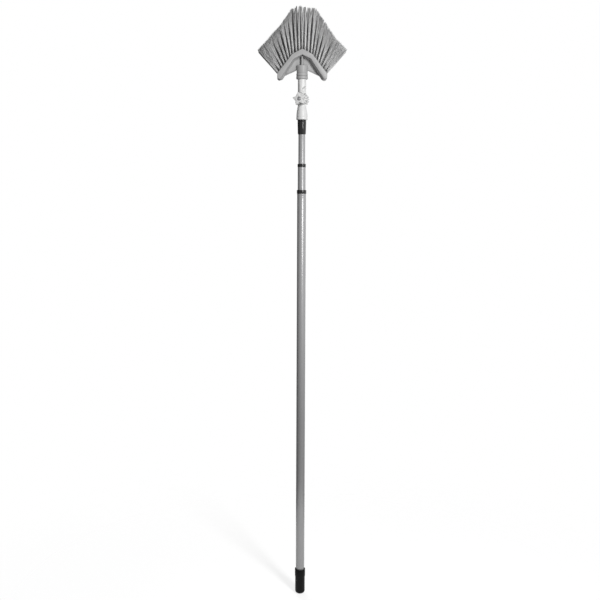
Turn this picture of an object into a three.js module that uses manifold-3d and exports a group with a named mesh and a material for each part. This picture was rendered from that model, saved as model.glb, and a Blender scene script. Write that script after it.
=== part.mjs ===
// A telescopic broom with a triangular head, in millimetres.
// +Z runs up the pole, -Y is the front and +X the viewer's right. The origin is the centre of the end
// cap's flat foot. The pole is pushed in, and the head stands at the top.

import * as THREE from "three";
import { mergeGeometries, mergeVertices } from "three/addons/utils/BufferGeometryUtils.js";
import Module from "manifold-3d";

const wasm = await Module();
wasm.setup();

// Fits
const seat_gap = 0.3; // between pieces that are pressed or screwed together
const running_gap = 0.35; // between pieces that turn or slide on each other
const overrun = 3; // how far a cutter passes the face that it opens
const weld = 0.0001; // points closer than this are one point

// Roundness, in sides and steps
const round_sides = 32;
const small_sides = 20;
const corner_steps = 4;

// Pole tubes
const outer_tube_od = 25;
const middle_tube_od = 22;
const inner_tube_od = 19;
const tube_wall = 0.8;
const outer_tube_length = 1187;
const middle_tube_stub = 64; // what shows of the middle tube
const inner_tube_stub = 81.5; // what shows of the inner tube
const crimp_depth = 0.3;
const crimp_width = 2.4;
const crimp_pitch = 5.6;
const crimp_below_mouth = 13;

// End cap
const cap_height = 75.7;
const cap_floor = 4;
const cap_lip_od = 30.4;
const cap_body_od = 28.6;
const cap_lip_height = 22;
const cap_step = 1;
const cap_foot_radius = 8;
const cap_mouth_chamfer = 1.2;

// Collars on the tube mouths
const lower_collar_wall = 0.6; // of the skirt round the tube
const lower_collar_height = 10.5;
const upper_collar_wall = 0.45;
const upper_collar_height = 8.8;
const collar_lip = 3.7;
const collar_edge = 0.25;

// Twist locks
const plug_length = 18;
const plug_flange = 2;
const plug_chamfer = 1;
const rod_radius = 3.5;
const rod_stop_radius = 5;
const rod_stop_height = 3;
const sleeve_neck = 5;
const sleeve_wall = 1.6; // at the wide end of the taper
const sleeve_edge = 0.6;
const slit_width = 3;
const cone_length = 20;
const cone_taper = 2.4; // how much the radius grows along the cone
const cone_gap = 0.4;
const cone_headroom = 3;
const cone_proud = 2; // how far the cone stands out of the sleeve
const lock_rest_gap = 3; // under a pushed-in lock

// Ferrule between the inner tube and the joint
const ferrule_length = 40;
const ferrule_top_od = 24.5;
const ferrule_bottom_od = 22.7;
const ferrule_edge = 2;
const ferrule_socket = 31;
const ferrule_ring_count = 3;
const ferrule_ring_pitch = 1.5;
const ferrule_ring_depth = 0.35;
const ferrule_ring_start = 2;

// Screwed studs, one on the ferrule and one on the upper arm, at the mean radius of their threads
const stud_radius = 9;
const stud_length = 19;
const stud_bore = 5.4;

// Tilting joint. Distances along its axis run from the pole's centre line towards the knob.
const joint_yaw = 20; // degrees that the joint is turned to the left from the head's front
const lower_arm_reach = 55.4; // from the joint's centre down to the band's edge
const band_height = 8;
const band_od = 31;
const band_groove = 0.4;
const band_chamfer = 0.7;
const lower_arm_shoulder_od = 30.8;
const lower_arm_waist_od = 23.4;
const lower_arm_waist_drop = 18.5; // from the joint's centre
const upper_arm_od = 23.2;
const upper_arm_reach = 55.1; // from the joint's centre up to the socket's edge
const disc_radius = 17.5;
const disc_face_radius = 15.7;
const disc_thickness = 11;
const disc_chamfer = 1.6;
const scoop_gap = 0.8; // round a disc, in the other arm
const tooth_count = 15;
const tooth_height = 2.5;
const tooth_gap = 0.3; // between the tips of the two crowns
const tooth_ring = 3.6; // how deep the notches between the teeth cut into a disc's rim
const tooth_space = 3.6; // width of a notch
const tooth_phase = 4; // degrees from the right to the front disc's first notch
const hollow_top = 36.7; // where the hollow side of the upper arm begins, above the joint's centre
const hollow_bend = 31;
const hollow_bottom = 20;
const hollow_inner = 1.5; // how near to the centre line the hollow side comes

// Bolt, washer, nut and knob
const bolt_radius = 3;
const bolt_head_flats = 10;
const bolt_head_height = 4;
const bolt_dome = 1;
const bolt_head_sink = 0.6; // how deep the head lies under the disc's face
const washer_radius = 8;
const washer_thickness = 1.2;
const nut_flats = 10;
const nut_thickness = 5;
const nut_chamfer = 0.8;
const nut_sink = 0.5; // how deep the nut lies in its pocket
const knob_arms = 5;
const knob_tip_radius = 18.6;
const knob_valley_radius = 9.4;
const knob_thickness = 13.4;
const knob_edge = 1.2;
const knob_phase = 26; // degrees from the right to the first arm
const knob_arm_steps = 10;
const knob_arm_taper = 1.3; // over 1 draws the arms' sides in

// Head block, from its apex down
const apex_above_socket = 79.6; // from the socket's lower edge
const block_depth = 42;
const roof_half_width = 28;
const roof_drop = 14.2;
const arm_reach = 69;
const arm_drop = 66.3;
const foot_drop = 15.2; // of the arm's foot, under the outer corner of its end
const foot_radius = 6;
const apex_radius = 4;
const shoulder_radius = 3;
const arm_corner_radius = 2;
const block_edge = 0.8;
const face_roof_width = 13; // of the bar's front and back faces, under the roof
const face_shoulder_width = 10.4;
const face_tip_width = 14.4;
const web_roof_width = 16.8; // of the bar where it meets the web
const web_shoulder_width = 14.2;
const web_tip_width = 20.6;
const web_thickness = 3;
const web_edge_drop = 48.7; // where the web's slanting lower edges would meet
const web_edge_rise = 25; // degrees of slope of those edges
const web_lip_depth = 7;
const web_lip_height = 1.8;
const rib_width = 3.9;
const rib_depth = 24;
const socket_top_drop = 43;
const socket_top_od = 32.4;
const socket_neck_od = 30.2;
const socket_lip_drop = 62.6;
const socket_ring_od = 32.2;
const socket_groove_od = 29.6;
const socket_groove = 1.5;
const socket_ring_height = 6.6;
const socket_edge = 0.6;

// Bristles and the slices of the block that they stand in
const slice_thickness = 3;
const slice_rim = 2.5; // of the block in front of and behind the slices
const slice_end = 1.6; // of the block past the slices at an arm's end
const tufts_per_side = 10;
const rows_per_quarter = 2;
const strands_per_tuft_side = 2;
const strand_base_radius = 0.95;
const strand_tip_radius = 1.5;
const tuft_spread = 1.5; // from a tuft's centre to its strands at the block
const row_pitch = 9.4;
const tip_row_pitch = 16;
const tip_half_width = 118.5;
const tip_corner_rise = 1.5; // above the apex
const tip_rise = 112.4; // above the apex
const tip_sag = 5; // of the trimmed sides
const crown_half_width = 31;
const crown_drop = 6;
const strand_sink_share = 0.4; // of the slice's thickness
const tip_spread_share = 0.5; // of a tuft's share of the tip line

// Places along the pole, worked out from the sizes above
const outer_radius = outer_tube_od / 2;
const middle_radius = middle_tube_od / 2;
const inner_radius = inner_tube_od / 2;
const plug_reach = seat_gap + plug_flange + running_gap; // under the tube that the plug is pressed into
const cone_reach = plug_reach + sleeve_neck + cone_headroom + cone_length;
const lock_reach = cone_reach + running_gap + rod_stop_height;
const outer_tube_bottom = cap_floor + seat_gap;
const outer_tube_top = outer_tube_bottom + outer_tube_length;
const lower_collar_bottom = outer_tube_top + seat_gap + collar_lip - lower_collar_height;
const upper_collar_bottom = lower_collar_bottom + lower_collar_height + middle_tube_stub;
const middle_tube_top = upper_collar_bottom + upper_collar_height - collar_lip - seat_gap;
const middle_tube_bottom = outer_tube_bottom + lock_rest_gap + lock_reach;
const ferrule_bottom = upper_collar_bottom + upper_collar_height + inner_tube_stub;
const inner_tube_top = ferrule_bottom + ferrule_socket - seat_gap;
const inner_tube_bottom = middle_tube_bottom + plug_length + lock_rest_gap + lock_reach;
const joint_height = ferrule_bottom + ferrule_length + seat_gap + lower_arm_reach;
const socket_bottom = joint_height + upper_arm_reach + seat_gap;
const apex_height = socket_bottom + apex_above_socket;

// Places along the joint's axis
const tooth_tip = tooth_gap / 2;
const tooth_root = tooth_tip + tooth_height;
const disc_face = tooth_root + disc_thickness;
const washer_back = disc_face + seat_gap;
const knob_back = washer_back + washer_thickness + seat_gap;
const knob_front = knob_back + knob_thickness;
const nut_back = knob_front - nut_sink - nut_thickness;

// Finishes
const finish = (color, roughness, metalness = 0) =>
  new THREE.MeshStandardMaterial({ color, roughness, metalness, flatShading: true });
const black_plastic = finish(0x242424, 0.45);
const white_plastic = finish(0xdededc, 0.4);
const grey_plastic = finish(0xa8a8a8, 0.5);
const lock_plastic = finish(0x3a3a3a, 0.5);
const aluminium = finish(0xb4b5b6, 0.35, 0.9);
const steel = finish(0x8e8f91, 0.3, 0.9);
const bristle = finish(0x969696, 0.6);

const radians = THREE.MathUtils.degToRad;

// Turns every face of a closed geometry outwards.
function facingOut(geometry) {
  const corner = [new THREE.Vector3(), new THREE.Vector3(), new THREE.Vector3()];
  const index = Array.from(geometry.index.array);
  let volume = 0;
  for (let i = 0; i < index.length; i += 3) {
    corner.forEach((point, k) => point.fromBufferAttribute(geometry.attributes.position, index[i + k]));
    volume += corner[0].dot(corner[1].clone().cross(corner[2]));
  }
  geometry.setIndex(volume < 0 ? index.reverse() : index);
  return geometry;
}

// Keeps only positions, joins the points that meet and drops faces without area.
function closed(geometry) {
  const bare = new THREE.BufferGeometry();
  bare.setAttribute("position", geometry.attributes.position);
  bare.setIndex(geometry.index);
  const welded = mergeVertices(bare, weld);
  const index = welded.index.array;
  const kept = [];
  for (let i = 0; i < index.length; i += 3) {
    const [a, b, c] = [index[i], index[i + 1], index[i + 2]];
    if (a !== b && b !== c && c !== a) kept.push(a, b, c);
  }
  welded.setIndex(kept);
  return facingOut(welded);
}

function toSolid(geometry) {
  const { attributes, index } = closed(geometry);
  const vertProperties = new Float32Array(attributes.position.array);
  const triVerts = new Uint32Array(index.array);
  return new wasm.Manifold(new wasm.Mesh({ numProp: 3, vertProperties, triVerts }));
}

function toGeometry(solid) {
  const { vertProperties, triVerts } = solid.getMesh();
  const geometry = new THREE.BufferGeometry();
  geometry.setAttribute("position", new THREE.BufferAttribute(vertProperties, 3));
  geometry.setIndex(new THREE.BufferAttribute(triVerts, 1));
  return geometry;
}

const joined = (first, ...others) =>
  toGeometry(others.reduce((whole, other) => whole.add(toSolid(other)), toSolid(first)));
const cut = (first, ...tools) =>
  toGeometry(tools.reduce((whole, tool) => whole.subtract(toSolid(tool)), toSolid(first)));

// A solid of revolution about Z. The profile holds [radius, height] pairs and closes on itself,
// or starts and ends on the axis.
function turned(profile, sides = round_sides) {
  const points = profile.map(([radius, height]) => new THREE.Vector2(radius, height));
  const on_axis = points[0].x === 0 && points.at(-1).x === 0;
  if (!on_axis) points.push(points[0].clone());
  return closed(new THREE.LatheGeometry(points, sides).rotateX(Math.PI / 2));
}

// A plain round bar along Z
const bar = (radius, from, to, sides = round_sides) =>
  turned([[0, from], [radius, from], [radius, to], [0, to]], sides);

// A hexagonal bar along Z, given by its width across flats
function hexBar(flats, from, to) {
  const geometry = new THREE.CylinderGeometry(flats / Math.sqrt(3), flats / Math.sqrt(3), to - from, 6);
  return closed(geometry.rotateX(Math.PI / 2).translate(0, 0, (from + to) / 2));
}

// A box between two corners
function block(low, high) {
  const size = high.map((value, i) => value - low[i]);
  const geometry = new THREE.BoxGeometry(...size);
  return closed(geometry.translate(...low.map((value, i) => value + size[i] / 2)));
}

// Points of an arc in a profile, from one angle to another in degrees
function arc(centre_x, centre_y, radius, from, to, steps = corner_steps) {
  return Array.from({ length: steps + 1 }, (_, i) => {
    const angle = radians(from + ((to - from) * i) / steps);
    return [centre_x + radius * Math.cos(angle), centre_y + radius * Math.sin(angle)];
  });
}

// An outline from [x, y, radius] corners, each rounded by its radius
function rounded(corners) {
  const at = (i) => new THREE.Vector2(...corners.at(i % corners.length));
  return corners.flatMap(([x, y, radius], i) => {
    const corner = new THREE.Vector2(x, y);
    if (!radius) return [corner];
    const back = at(i - 1).sub(corner).normalize();
    const on = at(i + 1).sub(corner).normalize();
    const half = Math.acos(back.dot(on)) / 2;
    const centre = corner.clone().add(back.clone().add(on).setLength(radius / Math.sin(half)));
    const start = corner.clone().addScaledVector(back, radius / Math.tan(half)).sub(centre);
    const end = corner.clone().addScaledVector(on, radius / Math.tan(half)).sub(centre);
    const sweep = Math.atan2(start.cross(end), start.dot(end));
    return Array.from({ length: corner_steps + 1 }, (_, k) =>
      start.clone().rotateAround(new THREE.Vector2(), (sweep * k) / corner_steps).add(centre),
    );
  });
}

// A plate whose outline lies in the XZ plane, from y = front to y = back, with rounded edges
function plate(outline, front, back, edge = 0) {
  const geometry = new THREE.ExtrudeGeometry(new THREE.Shape(outline), {
    depth: back - front - 2 * edge,
    bevelEnabled: edge > 0,
    bevelThickness: edge,
    bevelSize: edge,
    bevelOffset: -edge,
    bevelSegments: 2,
  });
  return closed(geometry.rotateX(Math.PI / 2).translate(0, back - edge, 0));
}

// Joins convex loops of as many points each, from the first to the last, with flat ends.
function loft(loops) {
  const sides = loops[0].length;
  const index = [];
  for (let level = 1; level < loops.length; level += 1) {
    for (let i = 0; i < sides; i += 1) {
      const next = (i + 1) % sides;
      const [below, above] = [(level - 1) * sides, level * sides];
      index.push(below + i, below + next, above + i, above + i, below + next, above + next);
    }
  }
  const top = (loops.length - 1) * sides;
  for (let i = 2; i < sides; i += 1) {
    index.push(0, i, i - 1, top, top + i - 1, top + i);
  }
  const geometry = new THREE.BufferGeometry().setFromPoints(loops.flat());
  geometry.setIndex(index);
  return facingOut(geometry);
}

// Where two lines cross in a plane, each given by two points
function crossing(a, b, c, d) {
  const along = b.clone().sub(a);
  const other = d.clone().sub(c);
  const share = c.clone().sub(a).cross(other) / along.cross(other);
  return a.clone().addScaledVector(along, share);
}

const mirrored = (geometry) => facingOut(geometry.clone().scale(-1, 1, 1));

function part(name, geometry, material, height = 0) {
  const mesh = new THREE.Mesh(geometry, material);
  mesh.name = name;
  mesh.position.z = height;
  return mesh;
}

// Pole

// A tube with rolled crimp rings at the given distances below its mouth
function tube(od, length, crimps = []) {
  const side = (radius) => [
    [radius, 0],
    ...crimps.toReversed().flatMap((drop) => [
      [radius, length - drop - crimp_width / 2],
      [radius - crimp_depth, length - drop],
      [radius, length - drop + crimp_width / 2],
    ]),
    [radius, length],
  ];
  return turned([...side(od / 2), ...side(od / 2 - tube_wall).reverse()]);
}

function endCap() {
  const [lip, body, bore] = [cap_lip_od / 2, cap_body_od / 2, outer_radius + seat_gap];
  return turned([
    [0, 0],
    ...arc(body - cap_foot_radius, cap_foot_radius, cap_foot_radius, -90, 0),
    [body, cap_height - cap_lip_height - cap_step],
    [lip, cap_height - cap_lip_height],
    [lip, cap_height],
    [bore + cap_mouth_chamfer, cap_height],
    [bore, cap_height - cap_mouth_chamfer],
    [bore, cap_floor],
    [0, cap_floor],
  ]);
}

// A collar that caps a tube's mouth and guides the thinner tube through it
function collar(wall, height, tube_radius, passing_radius) {
  const [skirt, lip] = [tube_radius + seat_gap, passing_radius + running_gap];
  const outer = skirt + wall;
  return turned([
    [skirt, 0],
    [outer - collar_edge, 0],
    [outer, collar_edge],
    [outer, height - collar_edge],
    [outer - collar_edge, height],
    [lip, height],
    [lip, height - collar_lip],
    [skirt, height - collar_lip],
  ]);
}

// Twist lock. Heights run from the lower end of the tube that the plug is pressed into.
const sleeve_top = -plug_reach;
const cone_bottom = -cone_reach;
const cone_top = cone_bottom + cone_length;

function lockPlug(tube_radius) {
  const plug = tube_radius - tube_wall - seat_gap;
  const stop = cone_bottom - running_gap;
  return turned([
    [0, stop - rod_stop_height],
    [rod_stop_radius, stop - rod_stop_height],
    [rod_stop_radius, stop],
    [rod_radius, stop],
    [rod_radius, -seat_gap - plug_flange],
    [tube_radius, -seat_gap - plug_flange],
    [tube_radius, -seat_gap],
    [plug, -seat_gap],
    [plug, plug_length - plug_chamfer],
    [plug - plug_chamfer, plug_length],
    [0, plug_length],
  ], small_sides);
}

const coneWideRadius = (bore) => bore - running_gap - sleeve_wall - cone_gap;

function lockSleeve(bore) {
  const outer = bore - running_gap;
  const bottom = cone_bottom + cone_proud;
  const cavity_top = sleeve_top - sleeve_neck;
  const slope = cone_taper / cone_length;
  const cavity = (height) => coneWideRadius(bore) + cone_gap - (height - cone_bottom) * slope;
  const neck = rod_radius + running_gap;
  const body = turned([
    [neck, cavity_top],
    [cavity(cavity_top), cavity_top],
    [cavity(bottom), bottom],
    [outer - sleeve_edge, bottom],
    [outer, bottom + sleeve_edge],
    [outer, sleeve_top - sleeve_edge],
    [outer - sleeve_edge, sleeve_top],
    [neck, sleeve_top],
  ], small_sides);
  const slit = block(
    [0, -slit_width / 2, bottom - overrun],
    [outer + overrun, slit_width / 2, sleeve_top + overrun],
  );
  return cut(body, slit);
}

// The cone nut, with a key that stands in the sleeve's slit
function lockCone(bore) {
  const wide = coneWideRadius(bore);
  const body = turned([
    [0, cone_bottom],
    [wide, cone_bottom],
    [wide - cone_taper, cone_top],
    [0, cone_top],
  ], small_sides);
  const half_key = slit_width / 2 - running_gap;
  const key = block([0, -half_key, cone_bottom], [bore - 2 * running_gap, half_key, cone_top]);
  const hole = bar(rod_radius + running_gap, cone_bottom - overrun, cone_top + overrun, small_sides);
  return cut(joined(body, key), hole);
}

// Ferrule and joint arms

function ferrule() {
  const [top, bottom, bore] = [ferrule_top_od / 2, ferrule_bottom_od / 2, inner_radius + seat_gap];
  const rings = Array.from({ length: ferrule_ring_count }, (_, i) => {
    const height = ferrule_length - ferrule_ring_start - i * ferrule_ring_pitch;
    return [
      [top, height],
      [top - ferrule_ring_depth, height - ferrule_ring_pitch / 4],
      [top, height - ferrule_ring_pitch / 2],
    ];
  });
  return turned([
    [bore, 0],
    [bottom - ferrule_edge / 2, 0],
    [bottom, ferrule_edge],
    ...rings.flat().reverse(),
    [top, ferrule_length],
    [stud_radius, ferrule_length],
    [stud_radius, ferrule_length + stud_length],
    [stud_bore, ferrule_length + stud_length],
    [stud_bore, ferrule_length],
    [0, ferrule_length],
    [0, ferrule_socket],
    [bore, ferrule_socket],
  ]);
}

const threadBore = (from, to) => bar(stud_radius + seat_gap, from, to);

// Turns a solid made along Z to lie along the joint's axis, with +Z towards the knob.
const onJointAxis = (geometry) => geometry.rotateX(Math.PI / 2);

// A disc of the joint with its crown of teeth. side is 1 for the front disc and -1 for the rear one,
// and turn is how far its notches stand from the front disc's, in teeth.
function toothedDisc(side, turn) {
  const notch_floor = disc_radius - tooth_ring;
  const disc = turned([
    [0, tooth_root * side],
    [notch_floor, tooth_root * side],
    [notch_floor, tooth_tip * side],
    [disc_radius, tooth_tip * side],
    [disc_radius, (disc_face - disc_chamfer) * side],
    [disc_face_radius, disc_face * side],
    [0, disc_face * side],
  ]);
  const half = tooth_space / 2;
  const reach = disc_face + overrun;
  const notches = Array.from({ length: tooth_count }, (_, i) => {
    const notch = block([notch_floor, -half, -reach], [disc_radius + overrun, half, reach]);
    return notch.rotateZ(radians(tooth_phase) + (2 * Math.PI * (i + turn)) / tooth_count);
  });
  return onJointAxis(cut(disc, ...notches));
}

// The room that an arm leaves for the other arm's disc
function scoop(side) {
  const near = -tooth_root * side;
  const far = (disc_face + band_od) * side;
  return onJointAxis(bar(disc_radius + scoop_gap, Math.min(near, far), Math.max(near, far)));
}

const boltHole = () =>
  onJointAxis(bar(bolt_radius + running_gap, -disc_face - overrun, disc_face + overrun, small_sides));

function lowerArm() {
  const [band, shoulder, waist] = [band_od / 2, lower_arm_shoulder_od / 2, lower_arm_waist_od / 2];
  const seam = band_height - lower_arm_reach;
  const bore_top = stud_length + seat_gap - lower_arm_reach;
  const curve = new THREE.QuadraticBezierCurve(
    new THREE.Vector2(shoulder, seam + band_groove),
    new THREE.Vector2(shoulder - band_groove, (seam - lower_arm_waist_drop) / 2),
    new THREE.Vector2(waist, -lower_arm_waist_drop),
  );
  const body = turned([
    [0, -lower_arm_reach],
    [band - band_chamfer, -lower_arm_reach],
    [band, band_chamfer - lower_arm_reach],
    [band, seam - band_groove],
    [band - 2 * band_groove, seam],
    ...curve.getPoints(2 * corner_steps).map(({ x, y }) => [x, y]),
    [waist, 0],
    [0, 0],
  ]);
  const bore = threadBore(-lower_arm_reach - overrun, bore_top);
  return cut(joined(cut(body, scoop(-1), bore), toothedDisc(1, 0)), boltHole());
}

function upperArm() {
  const radius = upper_arm_od / 2;
  const top = upper_arm_reach + stud_length;
  const body = turned([
    [0, 0],
    [radius, 0],
    [radius, upper_arm_reach],
    [stud_radius, upper_arm_reach],
    [stud_radius, top],
    [stud_bore, top],
    [stud_bore, upper_arm_reach - stud_length],
    [0, upper_arm_reach - stud_length],
  ]);
  const curve = new THREE.QuadraticBezierCurve(
    new THREE.Vector2(radius, hollow_top),
    new THREE.Vector2(hollow_inner, hollow_bend),
    new THREE.Vector2(hollow_inner, hollow_bottom - overrun),
  );
  const beyond = [
    new THREE.Vector2(radius + overrun, hollow_bottom - overrun),
    new THREE.Vector2(radius + overrun, hollow_top),
  ];
  const outline = [...curve.getPoints(2 * corner_steps), ...beyond];
  const hollow = plate(outline, -radius - overrun, tooth_root);
  const pocket = onJointAxis(
    hexBar(
      bolt_head_flats + 2 * seat_gap,
      -disc_face - overrun,
      bolt_head_height + bolt_head_sink + seat_gap - disc_face,
    ),
  );
  const arm = joined(cut(body, scoop(1), hollow), toothedDisc(-1, 1 / 2));
  return cut(arm, boltHole(), pocket);
}

// Bolt, washer, nut and knob, on the joint's axis

function jointBolt() {
  const head_back = bolt_head_sink - disc_face;
  const end = knob_front - nut_sink;
  const shank = turned(
    [
      [0, head_back],
      [bolt_radius, head_back],
      [bolt_radius, end - bolt_dome],
      [bolt_radius - bolt_dome, end - bolt_dome / 4],
      [0, end],
    ],
    small_sides,
  );
  return onJointAxis(joined(shank, hexBar(bolt_head_flats, head_back, head_back + bolt_head_height)));
}

function jointWasher() {
  const [back, front] = [washer_back, washer_back + washer_thickness];
  const hole = bolt_radius + running_gap;
  return onJointAxis(
    turned([[hole, back], [washer_radius, back], [washer_radius, front], [hole, front]]),
  );
}

function knobNut() {
  const [back, front] = [nut_back, nut_back + nut_thickness];
  const corner = nut_flats / Math.sqrt(3);
  const cone = turned([
    [0, back],
    [corner - nut_chamfer, back],
    [corner + nut_chamfer, back + nut_chamfer],
    [corner + nut_chamfer, front - nut_chamfer],
    [corner - nut_chamfer, front],
    [0, front],
  ]);
  const shaped = toGeometry(toSolid(hexBar(nut_flats, back, front)).intersect(toSolid(cone)));
  const hole = bar(bolt_radius + seat_gap, back - overrun, front + overrun, small_sides);
  return onJointAxis(cut(shaped, hole));
}

// The star of a knob: pointed arms with hollow sides
function starOutline() {
  return Array.from({ length: knob_arms * knob_arm_steps }, (_, i) => {
    const share = (i % knob_arm_steps) / knob_arm_steps;
    const from_tip = Math.abs(((share + 1 / 2) % 1) - 1 / 2) * 2;
    const rise = (knob_tip_radius - knob_valley_radius) * Math.pow(1 - from_tip, knob_arm_taper);
    const radius = knob_valley_radius + rise;
    const angle = radians(knob_phase) + (2 * Math.PI * i) / (knob_arms * knob_arm_steps);
    return new THREE.Vector2(radius * Math.cos(angle), radius * Math.sin(angle));
  });
}

function clampKnob() {
  const star = plate(starOutline(), -knob_front, -knob_back, knob_edge);
  const pocket = hexBar(nut_flats + 2 * seat_gap, nut_back - seat_gap, knob_front + overrun);
  const hole = bar(bolt_radius + running_gap, knob_back - overrun, knob_front, small_sides);
  return cut(star, onJointAxis(pocket), onJointAxis(hole));
}

// Head block. Outlines lie in the XZ plane, with the apex at the origin.
const apex = new THREE.Vector2(0, 0);
const shoulder = new THREE.Vector2(roof_half_width, -roof_drop);
const arm_end = new THREE.Vector2(arm_reach, -arm_drop);
const roof_length = apex.distanceTo(shoulder);
const arm_length = shoulder.distanceTo(arm_end);
const edge_length = roof_length + arm_length;
const face_widths = [face_roof_width, face_shoulder_width, face_tip_width];
const web_widths = [web_roof_width, web_shoulder_width, web_tip_width];

// Unit vector square to a stretch, pointing out of the block
function outward(from, to) {
  const along = to.clone().sub(from).normalize();
  return new THREE.Vector2(-along.y, along.x);
}
const roof_out = outward(apex, shoulder);
const arm_out = outward(shoulder, arm_end);

// The bar's inner edge: under the apex, under the shoulder, and at the arm's end. The bar's widths are
// those under the roof, at the shoulder and at the arm's end.
function innerEdge([roof_width, shoulder_width, tip_width]) {
  const roof_from = apex.clone().addScaledVector(roof_out, -roof_width);
  const roof_to = shoulder.clone().addScaledVector(roof_out, -roof_width);
  const arm_from = shoulder.clone().addScaledVector(arm_out, -shoulder_width);
  const arm_to = arm_end.clone().addScaledVector(arm_out, -tip_width);
  const centre_line = [apex, new THREE.Vector2(0, -arm_drop)];
  return [
    crossing(roof_from, roof_to, ...centre_line),
    crossing(roof_from, roof_to, arm_from, arm_to),
    arm_to,
  ];
}

// A point on the block's outer edge at a distance from the apex, moved inwards square to the edge
function edgePoint(distance, inset) {
  const on_roof = distance < roof_length;
  const [from, to] = on_roof ? [apex, shoulder] : [shoulder, arm_end];
  const share = on_roof ? distance / roof_length : (distance - roof_length) / arm_length;
  return from.clone().lerp(to, share).addScaledVector(on_roof ? roof_out : arm_out, -inset);
}

// The direction of the web's lower right edge
const webSlope = () =>
  new THREE.Vector2(Math.cos(radians(web_edge_rise)), -Math.sin(radians(web_edge_rise)));

const reflect = (points) => points.map(({ x, y }) => new THREE.Vector2(-x, y)).reverse();

function blockOutline() {
  const [, inner_shoulder, inner_end] = innerEdge(web_widths);
  const foot = new THREE.Vector2(arm_reach, -arm_drop - foot_drop);
  const heel = crossing(inner_shoulder, inner_end, foot, new THREE.Vector2(0, foot.y));
  const web_apex = new THREE.Vector2(0, -web_edge_drop);
  const web_side = web_apex.clone().add(webSlope());
  const web_corner = crossing(inner_shoulder, inner_end, web_apex, web_side);
  const right = [
    [shoulder.x, shoulder.y, shoulder_radius],
    [arm_end.x, arm_end.y, arm_corner_radius],
    [foot.x, foot.y, foot_radius],
    [heel.x, heel.y, foot_radius],
    [web_corner.x, web_corner.y, 0],
  ];
  const left = right.map(([x, y, radius]) => [-x, y, radius]).reverse();
  return rounded([[0, 0, apex_radius], ...right, [0, -web_edge_drop, 0], ...left]);
}

// The hollow between the arms on one side of the web, drawn in towards the web. side is 1 at the front.
function recess(side) {
  const half = block_depth / 2;
  const web = web_thickness / 2;
  const loop = (depth) => {
    const share = (depth - web) / (half - web);
    const widths = web_widths.map((width, i) => THREE.MathUtils.lerp(width, face_widths[i], share));
    const [top, corner, end] = innerEdge(widths);
    const reach = end.clone().sub(corner).setLength(arm_length);
    const foot = end.clone().add(reach);
    const outline = [top, corner, foot, ...reflect([corner, foot])];
    return outline.map(({ x, y }) => new THREE.Vector3(x, -depth * side, y));
  };
  return loft([loop(web), loop(half + overrun)]);
}

// The right half of a band along the block's outer edge, from a depth in the block to a height over it
function edgeBand(depth, height, end, half_gap) {
  const level = (inset) => innerEdge([inset, inset, inset]);
  const [inner_top, inner_shoulder] = level(depth);
  const [outer_top, outer_shoulder] = level(-height);
  const roof_slope = roof_drop / roof_half_width;
  return [
    new THREE.Vector2(half_gap, outer_top.y - half_gap * roof_slope),
    outer_shoulder,
    edgePoint(edge_length - end, -height),
    edgePoint(edge_length - end, depth),
    inner_shoulder,
    new THREE.Vector2(half_gap, inner_top.y - half_gap * roof_slope),
  ];
}

// The room in the block's outer edge for the bristle slices
function slicePocket() {
  const right = edgeBand(slice_thickness + seat_gap, overrun, slice_end, 0);
  const half = block_depth / 2 - slice_rim;
  return plate([...right, ...reflect(right).slice(1, -1)], -half, half);
}

function socket() {
  const [top, neck, ring, groove] = [socket_top_od, socket_neck_od, socket_ring_od, socket_groove_od].map(
    (od) => od / 2,
  );
  const lip = -socket_lip_drop;
  const bulge_top = lip - socket_groove;
  const bulge_bottom = bulge_top - socket_ring_height;
  const ring_top = bulge_bottom - socket_groove;
  const bottom = -apex_above_socket;
  return turned([
    [0, -socket_top_drop],
    [top - socket_edge, -socket_top_drop],
    [top, -socket_top_drop - socket_edge],
    [neck, lip],
    [groove, lip],
    [groove, bulge_top],
    [ring - socket_edge, bulge_top],
    [ring, (bulge_top + bulge_bottom) / 2],
    [ring - socket_edge, bulge_bottom],
    [groove, bulge_bottom],
    [groove, ring_top],
    [ring, ring_top],
    [ring, bottom + socket_edge],
    [ring - socket_edge, bottom],
    [0, bottom],
  ]);
}

// The lip along one of the web's lower edges
function webLip() {
  const along = webSlope();
  const from = new THREE.Vector2(0, -web_edge_drop);
  const [, corner, end] = innerEdge(web_widths);
  const to = crossing(corner, end, from, from.clone().add(along));
  to.addScaledVector(along, web_lip_height);
  const rise = new THREE.Vector2(0, web_lip_height);
  const outline = [from, to, to.clone().add(rise), from.clone().add(rise)];
  return plate(outline, -web_lip_depth / 2, web_lip_depth / 2);
}

function headBlock() {
  const body = plate(blockOutline(), -block_depth / 2, block_depth / 2, block_edge);
  const [inner_top] = innerEdge(web_widths);
  const rib = block(
    [-rib_width / 2, -rib_depth / 2, -socket_top_drop - socket_edge],
    [rib_width / 2, rib_depth / 2, inner_top.y + block_edge],
  );
  const lip = webLip();
  const bore_top = stud_length + seat_gap - apex_above_socket;
  const bore = threadBore(-apex_above_socket - overrun, bore_top);
  const hollowed = cut(body, recess(1), recess(-1), slicePocket());
  return cut(joined(hollowed, rib, lip, mirrored(lip), socket()), bore);
}

// Bristles

// A point of the trimmed tips, as a share of the way from the crown's centre to the corner
function tipPoint(share) {
  const crown_share = crown_half_width / tip_half_width;
  const x = share * tip_half_width;
  if (share < crown_share) {
    return new THREE.Vector2(x, tip_rise - crown_drop * Math.pow(share / crown_share, 2));
  }
  const along = (share - crown_share) / (1 - crown_share);
  const straight = THREE.MathUtils.lerp(tip_rise - crown_drop, tip_corner_rise, along);
  return new THREE.Vector2(x, straight - tip_sag * Math.sin(Math.PI * along));
}

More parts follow.
